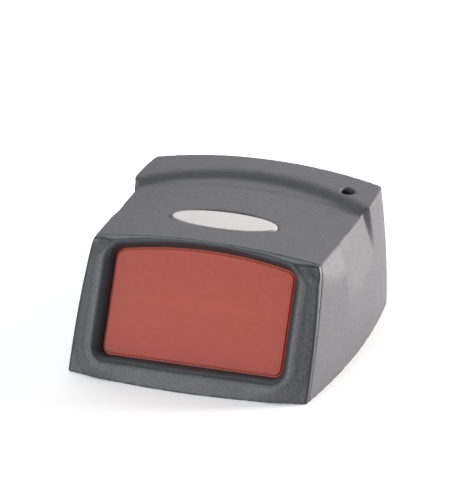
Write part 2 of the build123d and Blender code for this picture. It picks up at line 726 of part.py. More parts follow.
with BuildPart() as engine_board:
    with Locations((0, ENGINE_REAR_Y, ENGINE_BOARD_Z)):
        Box(*ENGINE_BOARD_SIZE, align=UP_REARWARD)
engine_board.part.label = "engine_board"
export_step(engine_board.part, "parts/engine_board.step")

engine_board_rear_y = ENGINE_REAR_Y + ENGINE_BOARD_SIZE[1]
with BuildPart() as engine_chip:
    with Locations((ENGINE_CHIP_PLACE[0], engine_board_rear_y, ENGINE_CHIP_PLACE[1])):
        Box(*ENGINE_CHIP_SIZE, align=REARWARD)
engine_chip.part.label = "engine_chip"
export_step(engine_chip.part, "parts/engine_chip.step")

with BuildPart() as flex_cable:
    with Locations((CONNECTOR_PLACE[0], engine_board_rear_y, BOARD_TOP + FLEX_LIFT)):
        Box(FLEX_W, FLEX_T, FLEX_RISE, align=UP_REARWARD)
        Box(FLEX_W, FLEX_END_Y - engine_board_rear_y, FLEX_T, align=UP_REARWARD)
flex_cable.part.label = "flex_cable"
export_step(flex_cable.part, "parts/flex_cable.step")

# ---------------------------------------------------------------- laser source
with BuildPart() as laser_barrel:
    with Locations(barrel_end):
        Cylinder(BARREL_R, BARREL_L, align=UP)
        Cylinder(BARREL_BORE_R, BARREL_L, align=UP, mode=Mode.SUBTRACT)
laser_barrel.part.label = "laser_barrel"
export_step(laser_barrel.part, "parts/laser_barrel.step")

with BuildPart() as laser_diode:
    with Locations(barrel_end):
        Cylinder(BARREL_BORE_R, DIODE_FLANGE_T, align=UP)
        Cylinder(DIODE_CAN_R, DIODE_H, align=UP)
laser_diode.part.label = "laser_diode"
export_step(laser_diode.part, "parts/laser_diode.step")

with BuildPart() as collimating_lens:
    with Locations(Location((BARREL_X + BARREL_L - LENS_SET_BACK, beam_y, OPTIC_Z), along_beam)):
        Cylinder(BARREL_BORE_R, LENS_T, align=UP)
        with Locations((0, 0, LENS_T)):
            Cone(BARREL_BORE_R, BARREL_BORE_R / 2, LENS_CROWN, align=UP)
collimating_lens.part.label = "collimating_lens"
export_step(collimating_lens.part, "parts/collimating_lens.step")

# ---------------------------------------------------------------- light collection
with BuildPart() as collection_mirror:
    with Locations((COLLECTOR_X, beam_y, FLOOR_Z + FLOOR_T)):
        Box(*COLLECTOR_SIZE, align=UP)
    with Locations((COLLECTOR_X + COLLECTOR_CURVE_X, beam_y, OPTIC_Z)):
        Sphere(COLLECTOR_CURVE_R, mode=Mode.SUBTRACT)
    with Locations(Location((COLLECTOR_X, beam_y, OPTIC_Z), along_beam)):
        Cylinder(BEAM_HOLE_R, 2 * BARREL_R, mode=Mode.SUBTRACT)
collection_mirror.part.label = "collection_mirror"
export_step(collection_mirror.part, "parts/collection_mirror.step")

with BuildPart() as photodiode:
    with Locations((DETECTOR[0], DETECTOR[1] + DETECTOR_Y, OPTIC_Z)):
        Box(*DETECTOR_SIZE, align=REARWARD)
photodiode.part.label = "photodiode"
export_step(photodiode.part, "parts/photodiode.step")

with BuildPart() as optical_filter:
    with Locations((DETECTOR[0], DETECTOR[1] + DETECTOR_Y + DETECTOR_SIZE[1], OPTIC_Z)):
        Box(*FILTER_SIZE, align=REARWARD)
optical_filter.part.label = "optical_filter"
export_step(optical_filter.part, "parts/optical_filter.step")

# ---------------------------------------------------------------- scan mirror, which swings
mirror_back = turned_plane(MIRROR_OFFSET - MIRROR_T)
with BuildPart() as scan_mirror:
    with BuildSketch(turned_plane(MIRROR_OFFSET)):
        RectangleRounded(MIRROR_W, MIRROR_H, MIRROR_CORNER_R)
    extrude(amount=-MIRROR_T)
scan_mirror.part.label = "scan_mirror"
export_step(scan_mirror.part, "parts/scan_mirror.step")

with BuildPart() as mirror_hub:
    with Locations((*PIVOT, OPTIC_Z - HUB_H / 2)):
        Cylinder(HUB_R, HUB_H, align=UP)
    with BuildSketch(mirror_back):
        Rectangle(HUB_PAD[0], HUB_PAD[1])
    extrude(amount=-HUB_PAD[2])
    with BuildSketch(turned_plane(0)):
        Rectangle(*HUB_ARM)
    extrude(amount=-MAGNET_NEAR)
    # nothing of the hub stands ahead of the mirror's back
    with BuildSketch(mirror_back):
        Rectangle(REACH, REACH)
    extrude(amount=REACH, mode=Mode.SUBTRACT)
    with Locations((*PIVOT, OPTIC_Z)):
        Cylinder(PIN_R + PIN_RUNNING, REACH, mode=Mode.SUBTRACT)
mirror_hub.part.label = "mirror_hub"
export_step(mirror_hub.part, "parts/mirror_hub.step")

with BuildPart() as drive_magnet:
    with BuildSketch(turned_plane(-MAGNET_NEAR)):
        Rectangle(MAGNET_SIZE[0], MAGNET_SIZE[1])
    extrude(amount=-MAGNET_SIZE[2])
drive_magnet.part.label = "drive_magnet"
export_step(drive_magnet.part, "parts/drive_magnet.step")

with BuildPart() as pivot_pin:
    with Locations((*PIVOT, FLOOR_Z)):
        Cylinder(PIN_R, ENGINE_TOP_Z - FLOOR_Z - PIN_SHORT, align=UP)
pivot_pin.part.label = "pivot_pin"
export_step(pivot_pin.part, "parts/pivot_pin.step")

# ---------------------------------------------------------------- drive coil, fixed
coil_centre = turned_plane(-(COIL_NEAR + COIL_T / 2)).origin
coil_side = turned_plane(-COIL_NEAR - FLANGE_T)
coil_len = COIL_T - 2 * FLANGE_T
with BuildPart() as coil_bobbin:
    with Locations(Location((coil_centre.X, coil_centre.Y, FLOOR_Z + FLOOR_T), (0, 0, SCAN_ANGLE))):
        Box(COIL_T, COIL_POST_W, OPTIC_Z - FLOOR_Z - FLOOR_T, align=UP)
    with BuildSketch(turned_plane(-COIL_NEAR)):
        Circle(FLANGE_R)
    extrude(amount=-COIL_T)
    with BuildSketch(coil_side):
        Circle(COIL_R)
        Circle(COIL_CORE_R, mode=Mode.SUBTRACT)
    extrude(amount=-coil_len, mode=Mode.SUBTRACT)
coil_bobbin.part.label = "coil_bobbin"
export_step(coil_bobbin.part, "parts/coil_bobbin.step")

with BuildPart() as drive_coil:
    with BuildSketch(coil_side):
        Circle(COIL_R)
        Circle(COIL_CORE_R, mode=Mode.SUBTRACT)
    extrude(amount=-coil_len)
drive_coil.part.label = "drive_coil"
export_step(drive_coil.part, "parts/drive_coil.step")
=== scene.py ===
"""Looks of the compact fixed-mount bar code scanner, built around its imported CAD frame."""
import json
import math

import bpy
import numpy as np
from mathutils import Matrix, Vector


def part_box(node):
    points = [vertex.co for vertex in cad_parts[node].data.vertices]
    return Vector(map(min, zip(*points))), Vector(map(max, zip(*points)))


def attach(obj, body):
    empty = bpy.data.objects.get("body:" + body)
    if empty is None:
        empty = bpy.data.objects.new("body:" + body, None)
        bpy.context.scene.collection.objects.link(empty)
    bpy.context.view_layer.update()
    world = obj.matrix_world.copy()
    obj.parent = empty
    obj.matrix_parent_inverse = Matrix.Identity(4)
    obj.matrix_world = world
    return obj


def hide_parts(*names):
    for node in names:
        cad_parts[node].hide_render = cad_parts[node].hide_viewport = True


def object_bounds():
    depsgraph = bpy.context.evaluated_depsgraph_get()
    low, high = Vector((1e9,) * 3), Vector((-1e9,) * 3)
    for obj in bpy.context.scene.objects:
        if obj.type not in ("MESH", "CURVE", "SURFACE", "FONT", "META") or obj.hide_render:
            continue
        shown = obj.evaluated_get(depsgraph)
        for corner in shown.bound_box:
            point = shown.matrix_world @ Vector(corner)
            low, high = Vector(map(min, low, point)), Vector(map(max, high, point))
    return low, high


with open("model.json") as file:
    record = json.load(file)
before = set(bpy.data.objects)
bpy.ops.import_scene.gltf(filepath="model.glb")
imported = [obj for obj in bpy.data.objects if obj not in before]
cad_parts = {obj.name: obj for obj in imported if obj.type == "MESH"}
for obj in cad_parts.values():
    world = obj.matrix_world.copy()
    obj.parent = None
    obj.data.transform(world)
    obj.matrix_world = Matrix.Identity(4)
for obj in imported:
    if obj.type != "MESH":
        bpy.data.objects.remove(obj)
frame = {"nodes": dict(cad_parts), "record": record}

cad_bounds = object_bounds()
MM = 0.001

# ---------------------------------------------------------------- the body's shape, in millimetres
# Half width at the corners, side bulge, front and rear corners' y, front and rear bulges, at the
# resting face and at the level of the top's side edges.
EDGE_Z = 25.2
BASE_LEVEL = (26.0, 2.1, -24.85, 28.2, 2.8, 0.4)
EDGE_LEVEL = (24.85, 1.5, -11.75, 27.7, 2.7, 0.4)
SIDE_SWELL = 0.4
ARCH_R = 122.0
MID_CROWN = 27.7
REAR_CROWN = 29.4
SADDLE = 0.25
STEP_SIDE_Y = 15.3
STEP_BOW = 1.5
STEP_LEAN = 1.1
WAIST_X = 24.6
WAIST_SLOPE = 0.256
BROW_END = (-2.4, 2.6)
CREASE = (15.9, 17.0)
SHOULDER = 0.5
FACET_END_Y = 6.0
FACET_OFF = 6.0
STRAIGHT_START_Y = 17.0
STRAIGHT_END_Y = 24.0
REAR_FLARE = 0.3
FACET = math.radians(62)
WALL = 1.6
SKIN = 1.0
PART_GAP = 0.03
PLUG_DEPTH = 3.6
PLUG_GAP = 0.1
COLLAR_T = 1.2
COLLAR_DEPTH = 2.2
COLLAR_COVER = 0.6
BASE_TOP_Z = 2.3

# How far the rounded edges reach: side to rear, facet to side, top, window frame, resting face.
REAR_EDGE = 0.9
FACET_EDGE = 0.7
TOP_EDGE = 0.3
FRONT_EDGE = 0.28
FOOT_EDGE = 0.35

# The raked window: its middle, its slope, and its outline's half sizes.
RAKE = math.atan2(EDGE_LEVEL[2] - BASE_LEVEL[2], EDGE_Z)
WINDOW_Z = 14.8
WINDOW_Y = BASE_LEVEL[2] + WINDOW_Z * math.tan(RAKE)
WINDOW_HALF_W = 19.6
WINDOW_SIDE_H = 21.8
WINDOW_ARCH = 2.1
WINDOW_CORNER_R = 1.7
PANEL_GAP = 0.35
PANEL_DEPTH = 0.8
GLASS_DEPTH = 1.2
GLASS_T = 1.2
LIP_DEPTH = 0.3
FUNNEL_FOOT = 0.7
WALL_DRAFT = math.radians(20)
LIP_T = 0.6
LEDGE_SIDE = 1.5
LEDGE_END = 0.5

# The frame's proud crest: its height, its distance from the window and how far it slopes away,
# with less of each over the window's top, and the widths that the crest fades in over.
CREST_H = 1.08
CREST_AWAY = 3.0
CREST_AWAY_LESS = 1.3
CREST_SLOPE = 3.4
CREST_EDGE = 1.7
CREST_EDGE_LESS = 0.85
CREST_FADE_X = (12.0, 20.0)
WINDOW_TOP_UP = (7.0, 10.5)

HOUSING_CELL = 0.4
BEZEL_CELL = 0.3


# ---------------------------------------------------------------- fields: below zero is inside
def smooth_max(a, b, k):
    """The larger of two fields, rounded where they meet; k is about 1.2 times the edge's radius."""
    near = np.maximum(k - np.abs(a - b), 0.0) / k
    return np.maximum(a, b) + near * near * k * 0.25


def smooth_min(a, b, k):
    return -smooth_max(-a, -b, k)


def ramp(value, start, end):
    """0 before start and 1 after end, with a smooth S between them."""
    share = np.clip((value - start) / (end - start), 0.0, 1.0)
    return share * share * (3.0 - 2.0 * share)


def levels(z):
    share = z / EDGE_Z
    values = [low + (high - low) * share for low, high in zip(BASE_LEVEL, EDGE_LEVEL)]
    values[0] = values[0] + SIDE_SWELL * 4.0 * np.clip(share * (1.0 - share), 0.0, None)
    return values


def arch(x, crown):
    return crown - ARCH_R + np.sqrt(ARCH_R**2 - np.minimum(np.abs(x), 60.0) ** 2)


def waist_share(y, z):
    """1 along the waist between the brow and the crease at the step, 0 ahead and behind."""
    lean = (EDGE_Z - z) * 0.07
    behind = np.clip((y - CREASE[0] - lean) / (CREASE[1] - CREASE[0]), 0.0, 1.0)
    return ramp(y, *BROW_END) * (1.0 - behind)


def brow_share(y):
    return 1.0 - ramp(y, *BROW_END)


def side_field(x, y, z):
    half, bulge, front, rear, _, _ = levels(z)
    middle = (front + rear) / 2
    reach = (rear - front) / 2
    wall_x = half + bulge * (1.0 - ((y - middle) / reach) ** 2)
    wall_x = wall_x + SHOULDER * ramp(y, front, front + 6.0) * brow_share(y) * ramp(z, 10.0, 22.0)
    wall_x = wall_x + REAR_FLARE * ramp(y, STRAIGHT_START_Y, STRAIGHT_END_Y) * np.clip(z / EDGE_Z, 0.0, 1.0)
    waist_x = WAIST_X + (EDGE_Z - z) * WAIST_SLOPE
    pinch = smooth_max(wall_x - waist_x, 0.0 * wall_x, 0.2)
    return np.abs(x) - (wall_x - waist_share(y, z) * pinch)


def top_field(x, y, z):
    middle = z - arch(x, MID_CROWN) + SADDLE * waist_share(y, z)
    rear = z - arch(x, REAR_CROWN)
    step_y = STEP_SIDE_Y + STEP_LEAN * (z - EDGE_Z) + STEP_BOW * (1.0 - (x / WAIST_X) ** 2)
    step = (step_y - y) / math.hypot(1.0, STEP_LEAN)
    return smooth_min(middle, smooth_max(rear, step, 0.9), 0.4)


def front_y(x, z):
    half, _, front, _, bulge, _ = levels(z)
    return front - bulge * (1.0 - (x / half) ** 2)


def rear_field(x, y, z):
    half, _, _, rear, _, bulge = levels(z)
    return y - rear - bulge * (1.0 - (x / half) ** 2)


def raked(y, z):
    """How far up the window's slope a point is, and how far out from its plane."""
    up = (y - WINDOW_Y) * math.sin(RAKE) + (z - WINDOW_Z) * math.cos(RAKE)
    out = -(y - WINDOW_Y) * math.cos(RAKE) + (z - WINDOW_Z) * math.sin(RAKE)
    return up, out


def window_edge(x, up, side=0.0, end=0.0):
    """Distance outside the window's outline, grown by side and end."""
    half_w = WINDOW_HALF_W + side
    half_h = (WINDOW_SIDE_H + WINDOW_ARCH) / 2 + end
    crown = WINDOW_ARCH * np.clip(1.0 - (x / WINDOW_HALF_W) ** 2, -0.3, 1.0)
    up = np.where(up > 0, up + WINDOW_ARCH - crown, up)
    across = np.abs(x) - half_w + WINDOW_CORNER_R
    along = np.abs(up) - half_h + WINDOW_CORNER_R
    outside = np.hypot(np.maximum(across, 0.0), np.maximum(along, 0.0))
    return outside + np.minimum(np.maximum(across, along), 0.0) - WINDOW_CORNER_R


def face_field(x, y, z):
    """The front: a proud rounded frame whose steep inner wall drops to the window's lip."""
    up, out = raked(y, z)
    bulge = out - (front_y(x, z) - y) * math.cos(RAKE)
    edge = window_edge(x, up)
    high = ramp(up, *WINDOW_TOP_UP)
    crest = CREST_AWAY - CREST_AWAY_LESS * high
    beyond = np.clip((edge - crest) / CREST_SLOPE, 0.0, 1.0)
    hump = CREST_H * (1.0 - beyond) ** 2 * (1.0 + 2.0 * beyond) * ramp(np.abs(x), *CREST_FADE_X)
    wall = -edge * math.cos(WALL_DRAFT) + (out + FUNNEL_FOOT) * math.sin(WALL_DRAFT)
    return smooth_max(out - bulge - hump, wall, CREST_EDGE - CREST_EDGE_LESS * high)


def outer_field(x, y, z, front):
    """The whole outer body, with front as its forward face."""
    body = smooth_max(side_field(x, y, z), rear_field(x, y, z), REAR_EDGE)
    facet = (np.abs(x) - WAIST_X) * math.sin(FACET) + (z - arch(WAIST_X, MID_CROWN)) * math.cos(FACET)
    facet = facet - (y > FACET_END_Y) * FACET_OFF
    body = smooth_max(body, facet, FACET_EDGE)
    body = smooth_max(body, top_field(x, y, z), TOP_EDGE)
    body = smooth_max(body, front, FRONT_EDGE)
    return smooth_max(body, -z, FOOT_EDGE)


def box_mm(node):
    low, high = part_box(node)
    return np.array(low) / MM, np.array(high) / MM


def post_field(x, y, z, centre, radius, low, high):
    return np.maximum(np.hypot(x - centre[0], y - centre[1]) - radius, np.maximum(low - z, z - high))


badge_low, badge_high = box_mm("badge")
pipe_low, pipe_high = box_mm("led_light_pipe")
jack_low, jack_high = box_mm("rear_jack")
base_low, _ = box_mm("base_cover")
BADGE_MID = (badge_low + badge_high) / 2
BADGE_R = (badge_high - badge_low) / 2
BADGE_GAP = 0.3
POCKET_Z = badge_low[2]
PIPE_MID = (pipe_low + pipe_high) / 2
LED_HOLE_R = 1.52
FRONT_POSTS = ((-22.3, -16.4), (22.3, -16.4))
REAR_POSTS = ((-23.2, 14.0), (23.2, 14.0))
POST_R = 2.0
POST_FOOT_Z = 2.25
PILOT_R = 1.02
FRONT_POST_TOP = 8.0
FRONT_PILOT_TOP = 7.4
REAR_POST_TOP = 16.0
REAR_PILOT_TOP = 10.0
JACK_GAP = 0.2
JACK_OPENING_Y = 24.0


def inner_field(x, y, z):
    """The room inside the housing's walls, open downwards and to the front."""
    walls = smooth_max(side_field(x, y, z), rear_field(x, y, z), 2.0)
    return smooth_max(walls, top_field(x, y, z), 1.0) + WALL


def collar_field(x, y, z):
    """The bezel's wall round the window, which the housing makes room for."""
    up, out = raked(y, z)
    walls = np.maximum(side_field(x, y, z), top_field(x, y, z)) + COLLAR_COVER
    return np.maximum(np.maximum(window_edge(x, up) - COLLAR_T, -out - COLLAR_DEPTH), walls)


def housing_field(x, y, z):
    behind = front_y(x, z) + SKIN + PART_GAP - y
    shell = outer_field(x, y, z, behind * math.cos(RAKE))
    field = smooth_max(shell, -inner_field(x, y, z), 0.15)
    field = np.maximum(field, PART_GAP - collar_field(x, y, z))
    for place in REAR_POSTS:
        post = post_field(x, y, z, place, POST_R, POST_FOOT_Z, REAR_POST_TOP)
        field = np.minimum(field, np.maximum(post, shell))
        field = np.maximum(field, -post_field(x, y, z, place, PILOT_R, 0.0, REAR_PILOT_TOP))
    # the badge's recess, with a rounded rim
    across = (x - BADGE_MID[0]) / (BADGE_R[0] + BADGE_GAP)
    along = (y - BADGE_MID[1]) / (BADGE_R[1] + BADGE_GAP)
    oval = np.hypot(across, along)
    recess = np.maximum((oval - 1.0) * BADGE_R[1] * 1.15, POCKET_Z - z)
    field = smooth_max(field, -recess, 0.5)
    hole = post_field(x, y, z, PIPE_MID, LED_HOLE_R, 20.0, 40.0)
    field = smooth_max(field, -hole, 0.15)
    opening = np.maximum(
        np.maximum(np.abs(x) - jack_high[0] - JACK_GAP, JACK_OPENING_Y - y),
        np.maximum(jack_low[2] - JACK_GAP - z, z - jack_high[2] - JACK_GAP),
    )
    return smooth_max(field, -opening, 0.35)


def bezel_field(x, y, z):
    up, out = raked(y, z)
    body = outer_field(x, y, z, face_field(x, y, z))
    skin = smooth_max(body, y - front_y(x, z) - SKIN + PART_GAP, 0.25)
    under_base = np.maximum(base_low[1] - PLUG_GAP - y, z - BASE_TOP_Z)
    plug = np.maximum(inner_field(x, y, z) + PLUG_GAP, -out - PLUG_DEPTH)
    plug = np.minimum(plug, collar_field(x, y, z))
    plug = np.maximum(np.maximum(plug, face_field(x, y, z)), PLUG_GAP - z)
    for place in FRONT_POSTS:
        post = post_field(x, y, z, place, POST_R, POST_FOOT_Z, FRONT_POST_TOP)
        pilot = post_field(x, y, z, place, PILOT_R, 0.0, FRONT_PILOT_TOP)
        plug = np.minimum(plug, np.maximum(post, -pilot))
    plug = np.maximum(plug, -under_base)
    field = smooth_min(skin, plug, 0.1)
    field = smooth_max(field, -window_edge(x, up), 0.2)
    seat = np.maximum(window_edge(x, up, LEDGE_SIDE, LEDGE_END), out + LIP_DEPTH + LIP_T)
    return np.maximum(field, -seat)


# ---------------------------------------------------------------- fields to meshes
def shifted(values, offset):
    """The values at one corner of every cell."""
    nx, ny, nz = values.shape
    dx, dy, dz = offset
    return values[dx:nx - 1 + dx, dy:ny - 1 + dy, dz:nz - 1 + dz]


CELL_EDGES = [
    (a, tuple(c + (axis == i) for i, c in enumerate(a)))
    for axis in range(3)
    for a in [(i, j, k) for i in (0, 1) for j in (0, 1) for k in (0, 1)]
    if a[axis] == 0
]


def net_vertices(values, low, cell):
    """One vertex in each cell that the surface crosses, at the mean of its edge crossings."""
    shape = tuple(n - 1 for n in values.shape)
    total = np.zeros(shape + (3,))
    count = np.zeros(shape)
    for start, end in CELL_EDGES:
        a = shifted(values, start)
        b = shifted(values, end)
        crossed = (a < 0) != (b < 0)
        share = np.where(crossed, a / np.where(crossed, a - b, 1.0), 0.0)
        for axis in range(3):
            total[..., axis] += crossed * (start[axis] + share * (end[axis] - start[axis]))
        count += crossed
    active = count > 0
    index = np.full(shape, -1)
    index[active] = np.arange(active.sum())
    corner = np.argwhere(active)
    points = low + cell * (corner + total[active] / count[active][:, None])
    return points, index


def net_quads(values, index):
    """One quad round each grid edge that the surface crosses, facing outwards."""
    inside = values < 0
    quads = []
    for axis in range(3):
        u = (axis + 1) % 3
        v = (axis + 2) % 3
        moved = np.moveaxis(inside, (axis, u, v), (0, 1, 2))
        cells = np.moveaxis(index, (axis, u, v), (0, 1, 2))
        first = moved[:-1, 1:-1, 1:-1]
        second = moved[1:, 1:-1, 1:-1]
        where = np.argwhere(first != second)
        i, j, k = where[:, 0], where[:, 1], where[:, 2]
        ring = np.stack([cells[i, j, k], cells[i, j + 1, k], cells[i, j + 1, k + 1], cells[i, j, k + 1]], 1)
        outward = first[i, j, k]
        quads.append(np.where(outward[:, None], ring, ring[:, ::-1]))
    return np.concatenate(quads)


def gradient(field, points, reach=0.02):
    parts = []
    for axis in range(3):
        step = np.zeros(3)
        step[axis] = reach
        ahead = field(*(points + step).T)
        behind = field(*(points - step).T)
        parts.append((ahead - behind) / (2 * reach))
    return np.stack(parts, 1)


def pull_to_surface(field, points, cell, rounds):
    for _ in range(rounds):
        slope = gradient(field, points)
        steep = np.maximum((slope**2).sum(1), 0.05)
        move = -(field(*points.T) / steep)[:, None] * slope
        length = np.linalg.norm(move, axis=1, keepdims=True)
        points = points + move * np.minimum(1.0, 0.4 * cell / np.maximum(length, 1e-9))
    return points


def relax(points, quads, share):
    """Moves each vertex part of the way to the mean of its quads' corners."""
    total = np.zeros_like(points)
    count = np.zeros(len(points))
    for corner in range(4):
        for step in (1, 3):
            np.add.at(total, quads[:, corner], points[quads[:, (corner + step) % 4]])
            np.add.at(count, quads[:, corner], 1)
    return points + share * (total / count[:, None] - points)


def mesh_from_field(name, field, low, high, cell):
    low = np.array(low, float) - 2 * cell
    high = np.array(high, float) + 2 * cell
    axes = [np.arange(low[i], high[i] + cell, cell) for i in range(3)]
    grid = np.meshgrid(*axes, indexing="ij")
    values = field(*grid)
    points, index = net_vertices(values, low, cell)
    quads = net_quads(values, index)
    points = pull_to_surface(field, points, cell, 2)
    for _ in range(3):
        points = relax(points, quads, 0.5)
        points = pull_to_surface(field, points, cell, 2)
    return piece_from_arrays(name, points * MM, quads)


def piece_from_arrays(name, points, quads):
    mesh = bpy.data.meshes.new(name)
    mesh.vertices.add(len(points))
    mesh.vertices.foreach_set("co", points.astype(np.float32).ravel())
    mesh.loops.add(4 * len(quads))
    mesh.loops.foreach_set("vertex_index", quads.astype(np.int32).ravel())
    mesh.polygons.add(len(quads))
    mesh.polygons.foreach_set("loop_start", (np.arange(len(quads)) * 4).astype(np.int32))
    mesh.polygons.foreach_set("use_smooth", np.ones(len(quads), dtype=bool))
    mesh.update(calc_edges=True)
    mesh.validate()
    piece = bpy.data.objects.new(name, mesh)
    bpy.context.scene.collection.objects.link(piece)
    return piece


# ---------------------------------------------------------------- materials
class Nodes:
    """A Principled material and short calls that add and join its nodes."""

    def __init__(self, name, colour, roughness, **sockets):
        self.material = bpy.data.materials.new(name)
        self.material.use_nodes = True
        self.tree = self.material.node_tree
        self.shader = self.tree.nodes["Principled BSDF"]
        self.shader.inputs["Base Color"].default_value = (*colour, 1.0)
        self.shader.inputs["Roughness"].default_value = roughness
        for socket, value in sockets.items():
            self.shader.inputs[socket.replace("_", " ")].default_value = value
        self.place = self.tree.nodes.new("ShaderNodeTexCoord").outputs["Object"]

    def node(self, kind, **values):
        made = self.tree.nodes.new(kind)
        for key, value in values.items():
            if hasattr(made, key):
                setattr(made, key, value)
            else:
                made.inputs[key.replace("_", " ")].default_value = value
        return made

    def join(self, output, socket):
        self.tree.links.new(output, socket)

    def noise(self, size, detail=3.0, rough=0.5):
        """Noise whose features are about size metres across."""
        made = self.node("ShaderNodeTexNoise", Scale=1.0 / size, Detail=detail, Roughness=rough)
        self.join(self.place, made.inputs["Vector"])
        return made.outputs["Fac"]

    def spread(self, source, low, high, to_low, to_high):
        made = self.node("ShaderNodeMapRange")
        for socket, value in zip((1, 2, 3, 4), (low, high, to_low, to_high)):
            made.inputs[socket].default_value = value
        self.join(source, made.inputs[0])
        return made.outputs[0]

    def mix(self, share, first, second, blend="MIX"):
        """Mixes two colours, each a socket or a plain colour."""
        made = self.node("ShaderNodeMix", data_type="RGBA", blend_type=blend)
        for index, value in ((0, share), (6, first), (7, second)):
            if isinstance(value, bpy.types.NodeSocket):
                self.join(value, made.inputs[index])
            elif index == 0:
                made.inputs[index].default_value = value
            else:
                made.inputs[index].default_value = (*value, 1.0)
        return made.outputs[2]

    def math(self, operation, first, second):
        made = self.node("ShaderNodeMath", operation=operation)
        for index, value in enumerate((first, second)):
            if isinstance(value, bpy.types.NodeSocket):
                self.join(value, made.inputs[index])
            else:
                made.inputs[index].default_value = value
        return made.outputs[0]

    def bump(self, height, strength, depth):
        made = self.node("ShaderNodeBump", Strength=strength, Distance=depth)
        self.join(height, made.inputs["Height"])
        self.join(made.outputs["Normal"], self.shader.inputs["Normal"])

    def colour(self, source):
        self.join(source, self.shader.inputs["Base Color"])

    def roughness(self, source):
        self.join(source, self.shader.inputs["Roughness"])


def textured_plastic(name, colour, grain, speckle, roughness, polished_shade=None):
    """Spark-eroded moulded plastic: fine pits, light specks and paler worn edges.

    Where the mesh's attribute read below is 1 the surface is smooth and takes the given dark colour. That
    colour is partly the smooth finish and partly painted shade: the dark band in the window's recess and
    the dark line along the frame's outer edge.
    """
    made = Nodes(name, colour, roughness)
    fine = made.noise(grain * 0.7, 3.0, 0.65)
    coarse = made.noise(grain * 2.2, 2.0, 0.5)
    height = made.math("ADD", fine, made.math("MULTIPLY", coarse, 0.35))
    pale = tuple(min(1.0, c * (1.0 + speckle)) for c in colour)
    dark = tuple(c * (1.0 - 0.6 * speckle) for c in colour)
    specks = made.spread(fine, 0.38, 0.66, 0.0, 1.0)
    body = made.mix(specks, dark, pale)
    cloud = made.spread(made.noise(0.014, 3.0), 0.3, 0.7, 0.0, 1.0)
    body = made.mix(cloud, body, made.mix(0.12, body, tuple(c * 1.9 for c in colour)))
    worn = made.node("ShaderNodeNewGeometry").outputs["Pointiness"]
    edge = made.spread(worn, 0.54, 0.66, 0.0, 0.02)
    body = made.mix(edge, body, tuple(min(1.0, c * 2.2) for c in colour))
    matte = made.spread(coarse, 0.3, 0.7, roughness - 0.05, roughness + 0.07)
    bump = made.node("ShaderNodeBump", Strength=0.55, Distance=grain * 0.22)
    made.join(height, bump.inputs["Height"])
    if polished_shade:
        made.shader.inputs["Specular IOR Level"].default_value = 0.72
        smooth = made.node("ShaderNodeAttribute", attribute_name="polish_and_shade").outputs["Fac"]
        # Painted shade: the dark colour mixed in here is partly the smooth finish and partly shade painted
        # into the window's recess and along the frame's outer edge.
        body = made.mix(smooth, body, made.mix(cloud, polished_shade, tuple(c * 1.3 for c in polished_shade)))
        matte = made.spread(smooth, 0.0, 1.0, roughness, 0.52)
        made.join(made.spread(smooth, 0.0, 1.0, 1.0, 0.03), bump.inputs["Strength"])
    made.join(bump.outputs["Normal"], made.shader.inputs["Normal"])
    made.colour(body)
    made.roughness(matte)
    return made.material


def grained(name, colour, roughness, grain, contrast=0.12, relief=0.00002, **sockets):
    """A plain material with fine colour variation, uneven gloss and a slight relief."""
    made = Nodes(name, colour, roughness, **sockets)
    fine = made.noise(grain, 3.0, 0.55)
    wide = made.noise(grain * 18, 2.0, 0.5)
    low = tuple(c * (1.0 - contrast) for c in colour)
    high = tuple(min(1.0, c * (1.0 + contrast)) for c in colour)
    shade = made.mix(made.spread(fine, 0.3, 0.7, 0.0, 1.0), low, high)
    tired = tuple(c * (1.0 - contrast * 0.7) for c in colour)
    made.colour(made.mix(made.spread(wide, 0.35, 0.65, 0.0, 0.6), shade, tired))
    made.roughness(made.spread(wide, 0.3, 0.7, max(roughness - 0.06, 0.02), min(roughness + 0.08, 1.0)))
    made.bump(fine, 0.5, relief)
    return made


def brushed(name, colour, roughness, stretch, grain=0.0002, contrast=0.1):
    """Metal with fine lines along one axis, and Metallic 1."""
    made = Nodes(name, colour, roughness, Metallic=1.0)
    lines = made.node("ShaderNodeMapping")
    lines.inputs["Scale"].default_value = stretch
    made.join(made.place, lines.inputs["Vector"])
    streaks = made.node("ShaderNodeTexNoise", Scale=1.0 / grain, Detail=3.0, Roughness=0.6)
    made.join(lines.outputs["Vector"], streaks.inputs["Vector"])
    streak = streaks.outputs["Fac"]
    low = tuple(c * (1.0 - contrast) for c in colour)
    made.colour(made.mix(made.spread(streak, 0.3, 0.7, 0.0, 1.0), low, colour))
    made.roughness(made.spread(streak, 0.3, 0.7, roughness - 0.05, roughness + 0.1))
    made.bump(streak, 0.35, 0.000012)
    return made.material


def board_green():
    """Circuit board: green solder mask over copper tracks that show as paler lines."""
    made = Nodes("board_green", (0.012, 0.10, 0.035), 0.32)
    tracks = made.node("ShaderNodeTexBrick", Scale=420.0, Mortar_Size=0.03, offset=0.37, squash=1.6)
    made.join(made.place, tracks.inputs["Vector"])
    raised = tracks.outputs["Fac"]
    mask = made.mix(raised, (0.010, 0.085, 0.030), (0.022, 0.17, 0.06))
    cloud = made.spread(made.noise(0.004, 3.0), 0.3, 0.7, 0.0, 0.35)
    made.colour(made.mix(cloud, mask, (0.008, 0.065, 0.022)))
    made.roughness(made.spread(made.noise(0.0006), 0.3, 0.7, 0.26, 0.42))
    made.bump(raised, 0.6, 0.00003)
    return made.material


